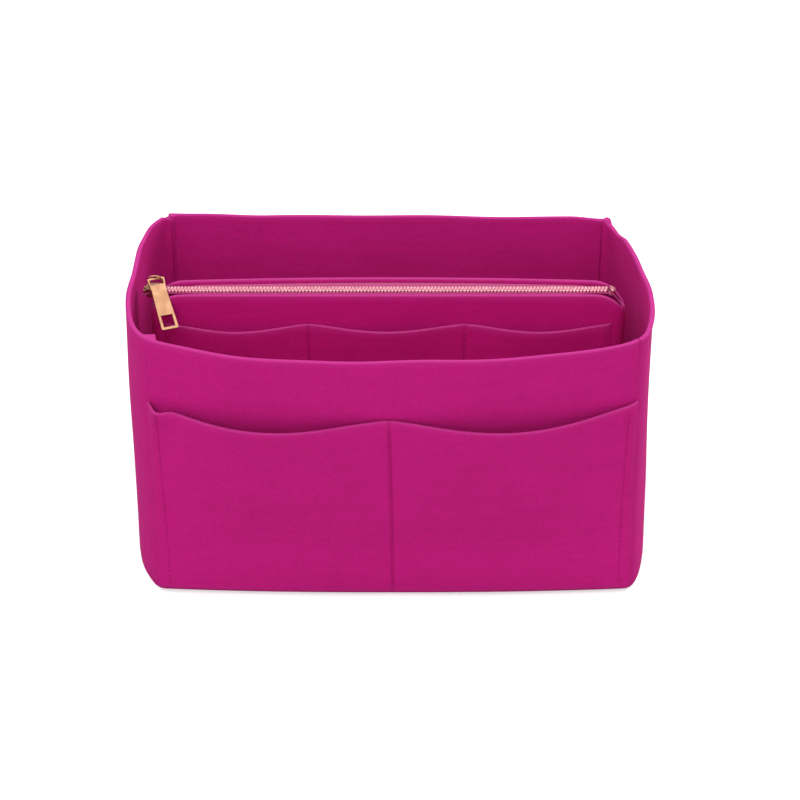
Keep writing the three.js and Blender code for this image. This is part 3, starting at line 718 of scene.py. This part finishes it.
def on_chain(x, shape, sign=1):
    """A small piece's points, set at a place along the chain and turned along its bend."""
    slope = float(chain_drop(x + 0.5) - chain_drop(x - 0.5))
    height = CHAIN_Z - float(chain_drop(x)) + shape[:, 2] - slope * shape[:, 0]
    return np.stack([x + shape[:, 0] + slope * shape[:, 2], sign * shape[:, 1], height], axis=1)


def tape(name, sign, node):
    """Woven tape: flat beside the teeth, then down the panel's inner face."""
    xs = np.linspace(SLIDER_X - TAPE_TAIL, POUCH_HALF - TAPE_END_INSET, TAPE_COLUMNS)
    xs[1], xs[-2] = xs[0] + TAPE_RING, xs[-1] - TAPE_RING
    inside = (POUCH_HALF - POUCH_CORNER_RADIUS - np.abs(xs)) / TAPE_SPREAD_RUN
    bow = bow_rise(POUCH_REAR_BOW if sign > 0 else 0.0, POUCH_BOW_POWER, (xs / POUCH_HALF + 1) / 2)
    bend = lerp(TAPE_BEND_AT_ENDS, TAPE_BEND + np.maximum(bow, 0), smooth(inside))
    reach = TAPE_SHORT_DROP + TAPE_LONG_DROP * smooth(inside - 1)
    tail = TAPE_TAIL_DIP * smooth((SLIDER_X - TAPE_TAIL_START - xs) / TAPE_TAIL_RUN)
    z0 = CHAIN_Z - chain_drop(xs) - tail
    mids = []
    for out, down in TAPE_FOLD:
        mids.append(np.stack([xs, sign * lerp(TAPE_EDGE, bend, out), z0 - np.minimum(down, reach)], axis=-1))
    mid = np.array(mids)
    slope = np.gradient(mid, axis=0)
    normal = np.stack([0 * slope[..., 0], -slope[..., 2], slope[..., 1]], axis=-1)
    size = np.linalg.norm(normal, axis=-1, keepdims=True)
    normal = np.where(size > 1e-6, normal / np.maximum(size, 1e-6), np.array([0.0, sign, 0.0]))
    points, faces, _ = slab(mid, normal, np.full(mid.shape[:2], TAPE_HALF_THICKNESS))
    obj = make(name, points, faces, tape_look, "pouch", [node])


def plate(outline, half, bevel):
    """Flat closed piece from an outline, with bevelled rims: its points in its own frame, and its faces."""
    outline = np.array(outline, dtype=float)
    n = len(outline)
    ahead, behind = np.roll(outline, -1, 0) - outline, outline - np.roll(outline, 1, 0)
    ahead /= np.linalg.norm(ahead, axis=1)[:, None]
    behind /= np.linalg.norm(behind, axis=1)[:, None]
    inward = np.stack([-(ahead + behind)[:, 1], (ahead + behind)[:, 0]], axis=1)
    inward /= np.linalg.norm(inward, axis=1)[:, None]
    levels = ((-half, bevel), (-half + bevel, 0), (half - bevel, 0), (half, bevel))
    points = [(*(outline[k] + inward[k] * inset), z) for z, inset in levels for k in range(n)]
    faces = []
    for low in range(0, 3 * n, n):
        for k in range(n):
            after = (k + 1) % n
            faces.append((low + k, low + after, low + n + after, low + n + k))
    faces += [tuple(range(n - 1, -1, -1)), tuple(range(3 * n, 4 * n))]
    return np.array(points), faces


def teeth(name, sign, offset, node):
    """Row of moulded metal teeth, each narrow at its neck and broad at its head."""
    outline = [(-x, y) for x, y in TOOTH] + [(x, y) for x, y in reversed(TOOTH)]
    shape, shape_faces = plate(outline, TOOTH_HALF_HEIGHT, TOOTH_BEVEL)
    points, faces = [], []
    count = int((CHAIN_END - CHAIN_START - offset - 1) / TOOTH_PITCH) + 1
    for n in range(count):
        moved = on_chain(CHAIN_START + TOOTH_LEAD + offset + n * TOOTH_PITCH, shape, sign)
        faces += [tuple(len(points) + k for k in f) for f in turned_out(moved, shape_faces)]
        points += moved.tolist()
    make(name, points, faces, teeth_look, "pouch", [node])


def bottom_stop(node):
    """Block at the chain's closed end: it follows the pouch's rounded corner."""
    shape, faces = plate(STOP, STOP_HALF_HEIGHT, STOP_BEVEL)
    points = on_chain(CHAIN_END + SEAM_GAP + STOP_HALF_LENGTH, shape)
    make("bottom_stop", points, turned_out(points, faces), teeth_look, "pouch", [node])


def soften(node, width):
    """A packed metal node keeps its shape and gets rounded edges and its metal."""
    obj = frame["nodes"][node]
    obj.data.materials.clear()
    obj.data.materials.append(gold)
    bevel = obj.modifiers.new("rounded", "BEVEL")
    bevel.width, bevel.segments = width * MM, BEVEL_SEGMENTS
    bevel.limit_method, bevel.angle_limit = "ANGLE", math.radians(BEVEL_ANGLE)
    bevel.harden_normals = False


# --- Materials ---


def srgb(r, g, b):
    """Linear colour from 0-255 display values."""
    f = lambda v: v / 12.92 if v <= 0.04045 else ((v + 0.055) / 1.055) ** 2.4
    return tuple(f(v / 255) for v in (r, g, b)) + (1.0,)


def grey(value):
    return (value, value, value, 1.0)


# One felt in two copies: the inner copy is redder and a touch brighter, painted light giving the hue of shade
# inside and a lift against it
MAGENTA, INNER_PAINTED_LIGHT_MAGENTA = srgb(178, 25, 113), srgb(182, 20, 112)
# Edge colours: partly the felt's paler cut edge, partly a painted highlight where light catches the rims
EDGE_PINK_AND_HIGHLIGHT, INNER_EDGE_PINK_AND_HIGHLIGHT, SHEEN_PINK = srgb(168, 50, 123), srgb(162, 56, 120), srgb(240, 120, 190)
TAPE_DARK, TAPE_PALE = srgb(128, 16, 76), srgb(178, 34, 116)
THREAD_DARK, THREAD_PALE = srgb(150, 14, 90), srgb(184, 26, 118)
ROSE_GOLD, ROSE_GOLD_RUBBED = srgb(202, 134, 148), srgb(220, 158, 168)
GOLD, GOLD_RUBBED = srgb(150, 110, 83), srgb(176, 138, 107)


class Look:
    """A Principled material under construction: its nodes are added by name."""

    def __init__(self, name):
        self.mat = bpy.data.materials.new(name)
        self.mat.use_nodes = True
        self.tree = self.mat.node_tree
        self.shader = self.tree.nodes["Principled BSDF"]
        self.coords = self.add("ShaderNodeTexCoord").outputs["Object"]

    def add(self, kind, **values):
        node = self.tree.nodes.new(kind)
        for key, value in values.items():
            setattr(node, key, value)
        return node

    def link(self, a, b):
        self.tree.links.new(a, b)

    def noise(self, scale, detail=4.0, roughness=0.55, stretch=(1, 1, 1), distortion=0.0):
        node = self.add("ShaderNodeTexNoise")
        node.inputs["Scale"].default_value = scale
        node.inputs["Detail"].default_value = detail
        node.inputs["Roughness"].default_value = roughness
        node.inputs["Distortion"].default_value = distortion
        if stretch != (1, 1, 1):
            mapping = self.add("ShaderNodeMapping")
            mapping.inputs["Scale"].default_value = stretch
            self.link(self.coords, mapping.inputs["Vector"])
            self.link(mapping.outputs["Vector"], node.inputs["Vector"])
        else:
            self.link(self.coords, node.inputs["Vector"])
        return node.outputs["Fac"]

    def ramp(self, value, low, high, a=(0, 0, 0, 1), b=(1, 1, 1, 1)):
        node = self.add("ShaderNodeValToRGB")
        node.color_ramp.elements[0].position, node.color_ramp.elements[1].position = low, high
        node.color_ramp.elements[0].color, node.color_ramp.elements[1].color = a, b
        self.link(value, node.inputs["Fac"])
        return node.outputs["Color"]

    def mix(self, fac, a, b, blend="MIX"):
        node = self.add("ShaderNodeMix", data_type="RGBA", blend_type=blend)
        for socket, value in ((node.inputs[0], fac), (node.inputs[6], a), (node.inputs[7], b)):
            if hasattr(value, "is_linked"):
                self.link(value, socket)
            else:
                socket.default_value = value
        return node.outputs[2]

    def bump(self, height, strength, distance, under=None):
        node = self.add("ShaderNodeBump")
        node.inputs["Strength"].default_value = strength
        node.inputs["Distance"].default_value = distance
        self.link(height, node.inputs["Height"])
        if under is not None:
            self.link(under, node.inputs["Normal"])
        return node.outputs["Normal"]

    def set(self, **values):
        for key, value in values.items():
            self.shader.inputs[key.replace("_", " ")].default_value = value


def felt_look(name, colour, edge):
    """Pressed wool felt: mottled dye, short crossing fibres, soft lumps, paler fuzzy cut edges with a painted
    highlight.
    """
    look = Look(name)
    deep = tuple(c * 0.975 for c in colour[:3]) + (1.0,)
    pale = tuple(min(c * 1.02, 1) for c in colour[:3]) + (1.0,)
    body = look.ramp(look.noise(55, 3, 0.6), 0.33, 0.68, deep, pale)
    speck = look.ramp(look.noise(620, 5, 0.7), 0.3, 0.75, grey(0.88), grey(1.1))
    body = look.mix(1.0, body, speck, "MULTIPLY")
    grain = look.ramp(look.noise(300, 3, 0.6, (0.06, 0.06, 1)), 0.3, 0.7, grey(0.96), grey(1.03))
    body = look.mix(1.0, body, grain, "MULTIPLY")
    # Cut edges mix towards the edge colour: partly the paler fuzzy cut edge, partly a painted highlight
    attribute = look.add("ShaderNodeAttribute", attribute_name="edge")
    fuzz = look.ramp(look.noise(900, 3), 0.25, 0.7, grey(0.55), grey(1.0))
    share = look.add("ShaderNodeMath", operation="MULTIPLY")
    look.link(attribute.outputs["Fac"], share.inputs[0])
    look.link(fuzz, share.inputs[1])
    look.link(look.mix(share.outputs[0], body, edge), look.shader.inputs["Base Color"])
    lumps = look.bump(look.noise(130, 3, 0.5), 0.35, 0.0006)
    along = look.bump(look.noise(900, 4, 0.6, (1, 1, 0.25), 1.5), 0.45, 0.00022, lumps)
    across = look.bump(look.noise(1000, 4, 0.6, (0.25, 1, 1), 1.5), 0.45, 0.0002, along)
    look.link(across, look.shader.inputs["Normal"])
    look.set(Roughness=0.95, Sheen_Weight=0.05, Sheen_Roughness=0.45, Specular_IOR_Level=0.05)
    look.shader.inputs["Sheen Tint"].default_value = SHEEN_PINK
    return look.mat


def tape_material():
    """Woven zip tape: fine ribs across it and thread between them."""
    look = Look("woven_tape")
    wave = look.add("ShaderNodeTexWave", wave_type="BANDS", bands_direction="X")
    wave.inputs["Scale"].default_value = 420
    wave.inputs["Distortion"].default_value = 0.6
    look.link(look.coords, wave.inputs["Vector"])
    colour = look.ramp(wave.outputs["Fac"], 0.1, 0.9, TAPE_DARK, TAPE_PALE)
    look.link(colour, look.shader.inputs["Base Color"])
    ribs = look.bump(wave.outputs["Fac"], 0.6, 0.0002)
    look.link(look.bump(look.noise(1500, 3), 0.4, 0.0001, ribs), look.shader.inputs["Normal"])
    look.set(Roughness=0.8, Sheen_Weight=0.2, Specular_IOR_Level=0.25)
    return look.mat


def metal_look(name, colour, rub, roughness, scale):
    """Plated zip metal: slightly uneven polish with rubbed, paler patches."""
    look = Look(name)
    patches = look.ramp(look.noise(scale, 3), 0.4, 0.75)
    look.link(look.mix(patches, colour, rub), look.shader.inputs["Base Color"])
    rough = look.add("ShaderNodeMapRange")
    rough.inputs["To Min"].default_value = roughness - 0.06
    rough.inputs["To Max"].default_value = roughness + 0.1
    look.link(look.noise(scale * 4, 4), rough.inputs["Value"])
    look.link(rough.outputs["Result"], look.shader.inputs["Roughness"])
    look.link(look.bump(look.noise(scale * 6, 3), 0.15, 0.00005), look.shader.inputs["Normal"])
    look.set(Metallic=1.0)
    return look.mat


def thread_look():
    """Twisted sewing thread."""
    look = Look("sewing_thread")
    twist = look.noise(2600, 2, 0.5, (1, 1, 0.4))
    colour = look.ramp(twist, 0.3, 0.7, THREAD_DARK, THREAD_PALE)
    look.link(colour, look.shader.inputs["Base Color"])
    look.link(look.bump(twist, 0.4, 0.0001), look.shader.inputs["Normal"])
    look.set(Roughness=0.85, Specular_IOR_Level=0.1)
    return look.mat


# --- Floor, light, camera ---


def shown_rays(tree):
    """1 for rays from the camera, gloss and glass, else 0."""
    path = tree.nodes.new("ShaderNodeLightPath")
    total = path.outputs["Is Camera Ray"]
    for name in ("Is Glossy Ray", "Is Transmission Ray"):
        both = tree.nodes.new("ShaderNodeMath")
        both.operation = "MAXIMUM"
        tree.links.new(total, both.inputs[0])
        tree.links.new(path.outputs[name], both.inputs[1])
        total = both.outputs[0]
    return total


def floor():
    """Pale floor that reads white in the camera and keeps a soft shadow."""
    look = Look("pale_floor")
    low, high = FLOOR_TONES
    look.link(look.ramp(look.noise(3, 2), 0.2, 0.8, grey(low), grey(high)), look.shader.inputs["Base Color"])
    look.set(Roughness=0.9, Specular_IOR_Level=0.1)
    look.shader.inputs["Emission Color"].default_value = grey(1.0)
    glow = look.add("ShaderNodeMath", operation="MULTIPLY")
    look.link(shown_rays(look.tree), glow.inputs[0])
    glow.inputs[1].default_value = FLOOR_GLOW
    look.link(glow.outputs[0], look.shader.inputs["Emission Strength"])
    mesh = bpy.data.meshes.new("studio_floor")
    corners = ((-1, -1), (1, -1), (1, 1), (-1, 1))
    points = [(x * FLOOR_HALF, y * FLOOR_HALF, -FLOOR_DROP) for x, y in corners]
    mesh.from_pydata(points, [], [(0, 1, 2, 3)])
    mesh.materials.append(look.mat)
    obj = bpy.data.objects.new("studio_floor", mesh)
    bpy.context.scene.collection.objects.link(obj)


def world():
    """White behind the object, and a weaker even fill on it."""
    w = bpy.data.worlds.new("studio")
    bpy.context.scene.world = w
    w.use_nodes = True
    tree = w.node_tree
    back = tree.nodes["Background"]
    back.inputs["Color"].default_value = grey(1.0)
    strength = tree.nodes.new("ShaderNodeMapRange")
    strength.inputs["To Min"].default_value, strength.inputs["To Max"].default_value = WORLD_FILL, 1.0
    tree.links.new(shown_rays(tree), strength.inputs["Value"])
    tree.links.new(strength.outputs["Result"], back.inputs["Strength"])


def lamp(name, at, target, size, power):
    """Round area light."""
    data = bpy.data.lights.new(name, "AREA")
    data.shape, data.size, data.energy = "DISK", size, power
    obj = bpy.data.objects.new(name, data)
    obj.location = at
    obj.rotation_euler = (Vector(target) - Vector(at)).to_track_quat("-Z", "Y").to_euler()
    bpy.context.scene.collection.objects.link(obj)


def camera():
    """Camera at the photo's place."""
    data = bpy.data.cameras.new("photo_camera")
    data.lens, data.sensor_width, data.clip_start = CAMERA_LENS, CAMERA_SENSOR, CAMERA_NEAR
    obj = bpy.data.objects.new("photo_camera", data)
    obj.location = CAMERA_AT
    obj.rotation_euler = (math.radians(CAMERA_TILT), 0, 0)
    bpy.context.scene.collection.objects.link(obj)
    bpy.context.scene.camera = obj


# --- Panels of this object ---


def shell_row(v, top):
    return lerp(FOOT, top, v)


def wall_curve_at(z):
    return front_curve(height_share(z))


def outer_pocket():
    """Double pocket on the front wall, sewn short of the corner seams. Gives its stitch lines."""
    form = OUTER_POCKET
    half = float(front_curve(0.0)["to"].real)
    lines = (-POCKET_END_X + POCKET_STITCH_INSET, 0, POCKET_END_X - POCKET_STITCH_INSET)
    columns = with_lines(lerp(-POCKET_END_X, POCKET_END_X, shares(2 * POCKET_END_X, POCKET_GRID)), lines)
    dense = np.linspace(0, 1, 2001)
    columns = np.interp(columns, plan_point(wall_curve_at(form["end"]), dense).real, dense)
    mid, normal = pocket_sheet(
        form, (-half, 0, half), (form["end"], form["seam"], form["end"]), WALL_THICKNESS / 2, 1,
        wall_curve_at, shell_row, columns, lambda c, s: s,
    )
    return pocket(
        "outer_pocket_felt", form, pinch(mid, normal), normal, lines, shell_flow, "shell",
        "front_outer_pocket", felt, PRESSED_LIGHTLY,
    )


def slotted_pocket(name, form, length, standoff, outward, curve_at, z_at, flow, body, node):
    """Pocket panel with divider seams. Gives its stitch lines."""
    half = length / 2 - form["end_inset"]
    columns = with_lines(lerp(-half, half, shares(2 * half, POCKET_GRID)), form["seams"])
    seams = (-half, *form["seams"], half)
    mid, normal = pocket_sheet(
        form, seams, (form["height"],) * len(seams), standoff, outward, curve_at, z_at, columns, share_at_x,
    )
    return pocket(
        name, form, mid, normal, form["seams"], flow, body, node, felt_inner_painted_light,
    )


def pouch_panel(name, curve_at, top, node):
    """Pouch panel: its ends turn in to the side seams, its top corners are rounded."""
    arc, between = np.linspace(0, POUCH_ARC, POUCH_ARC_STEPS), np.linspace(0, 1, POUCH_STEPS)[1:-1]
    columns = np.concatenate([arc, lerp(POUCH_ARC, 1 - POUCH_ARC, between), 1 - arc[::-1]])
    rims = [r / POUCH_RIM for r in EDGE_RINGS[1:]]
    columns = np.concatenate([[0], rims, columns[2:-2], [1 - r for r in reversed(rims)], [1]])
    tops = top - corner_drop(plan_point(curve_at(top), columns).real)
    mids, normals = [], []
    for v in shares(top - FOOT):
        z = pouch_row(v, tops)
        c = curve_at(z)
        mids.append(in_plan(plan_point(c, columns), z))
        normals.append(in_plan(plan_normal(c, columns), np.zeros(len(columns))))
    mid, normal = np.array(mids), np.array(normals)
    points, faces, tint = slab(mid, normal, np.full(mid.shape[:2], POUCH_THICKNESS / 2))
    obj = make(name, pouch_flow(points), faces, felt_inner_painted_light, "pouch", [node], tint)


# --- The object ---

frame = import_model()
camera()

felt = felt_look("magenta_felt", MAGENTA, EDGE_PINK_AND_HIGHLIGHT)
# Inner copy of the same felt: its colour is painted light for the shaded inside
felt_inner_painted_light = felt_look("magenta_felt_inner_painted_light", INNER_PAINTED_LIGHT_MAGENTA, INNER_EDGE_PINK_AND_HIGHLIGHT)
tape_look = tape_material()
teeth_look = metal_look("rose_gold_teeth", ROSE_GOLD, ROSE_GOLD_RUBBED, 0.45, 300)
gold = metal_look("gold_plating", GOLD, GOLD_RUBBED, 0.36, 160)
thread = thread_look()

base()
wall(
    "front_wall_felt", front_curve, WALL_FLATS["front"], "front_wall",
    (LEFT_FRONT_RIDGE, 0), front_rim, front_creases,
)
wall(
    "rear_wall_felt", rear_curve, WALL_FLATS["rear"], "rear_wall",
    (REAR_RIDGE, REAR_RIDGE), rear_rim,
)
wall(
    "left_wall_felt", left_curve, WALL_FLATS["side"], "left_side_wall",
    (REAR_RIDGE, LEFT_FRONT_RIDGE), side_rim,
)
wall(
    "right_wall_felt", right_curve, WALL_FLATS["side"], "right_side_wall",
    (0, REAR_RIDGE), side_rim, rim_flare,
)

outer_lines = outer_pocket()
inner_lines = slotted_pocket(
    "inner_pocket_felt", INNER_POCKET, RIM_LENGTH, WALL_THICKNESS / 2, -1, wall_curve_at, shell_row,
    shell_flow, "shell", "front_inner_pocket",
)
pouch_panel("pouch_front_felt", front_pouch_curve, POUCH_TOP, "pouch_front_panel")
pouch_panel("pouch_rear_felt", rear_pouch_curve, POUCH_TOP + POUCH_REAR_RISE, "pouch_rear_panel")
slip_lines = slotted_pocket(
    "slip_pocket_felt", SLIP_POCKET, POUCH_LENGTH, POUCH_THICKNESS / 2, 1, front_pouch_curve, pouch_row,
    pouch_flow, "pouch", "pouch_slip_pocket",
)
stitches("outer_pocket_stitches", outer_lines, shell_flow, "shell")
stitches("inner_pocket_stitches", inner_lines, shell_flow, "shell")
stitches("slip_pocket_stitches", slip_lines, pouch_flow, "pouch")
tape("woven_tape_front", -1, "zip_tape_front")
tape("woven_tape_rear", 1, "zip_tape_rear")
teeth("metal_teeth_front", -1, 0.0, "zip_teeth_front")
teeth("metal_teeth_rear", 1, TOOTH_PITCH / 2, "zip_teeth_rear")
soften("zip_slider", SLIDER_ROUND)
soften("pull_tab", PULL_ROUND)
for stop in ("zip_top_stop_front", "zip_top_stop_rear"):
    soften(stop, TOP_STOP_ROUND)
bottom_stop("zip_bottom_stop")

floor()
world()
for values in LAMPS:
    lamp(*values)

bpy.context.scene.view_settings.view_transform = "Standard"
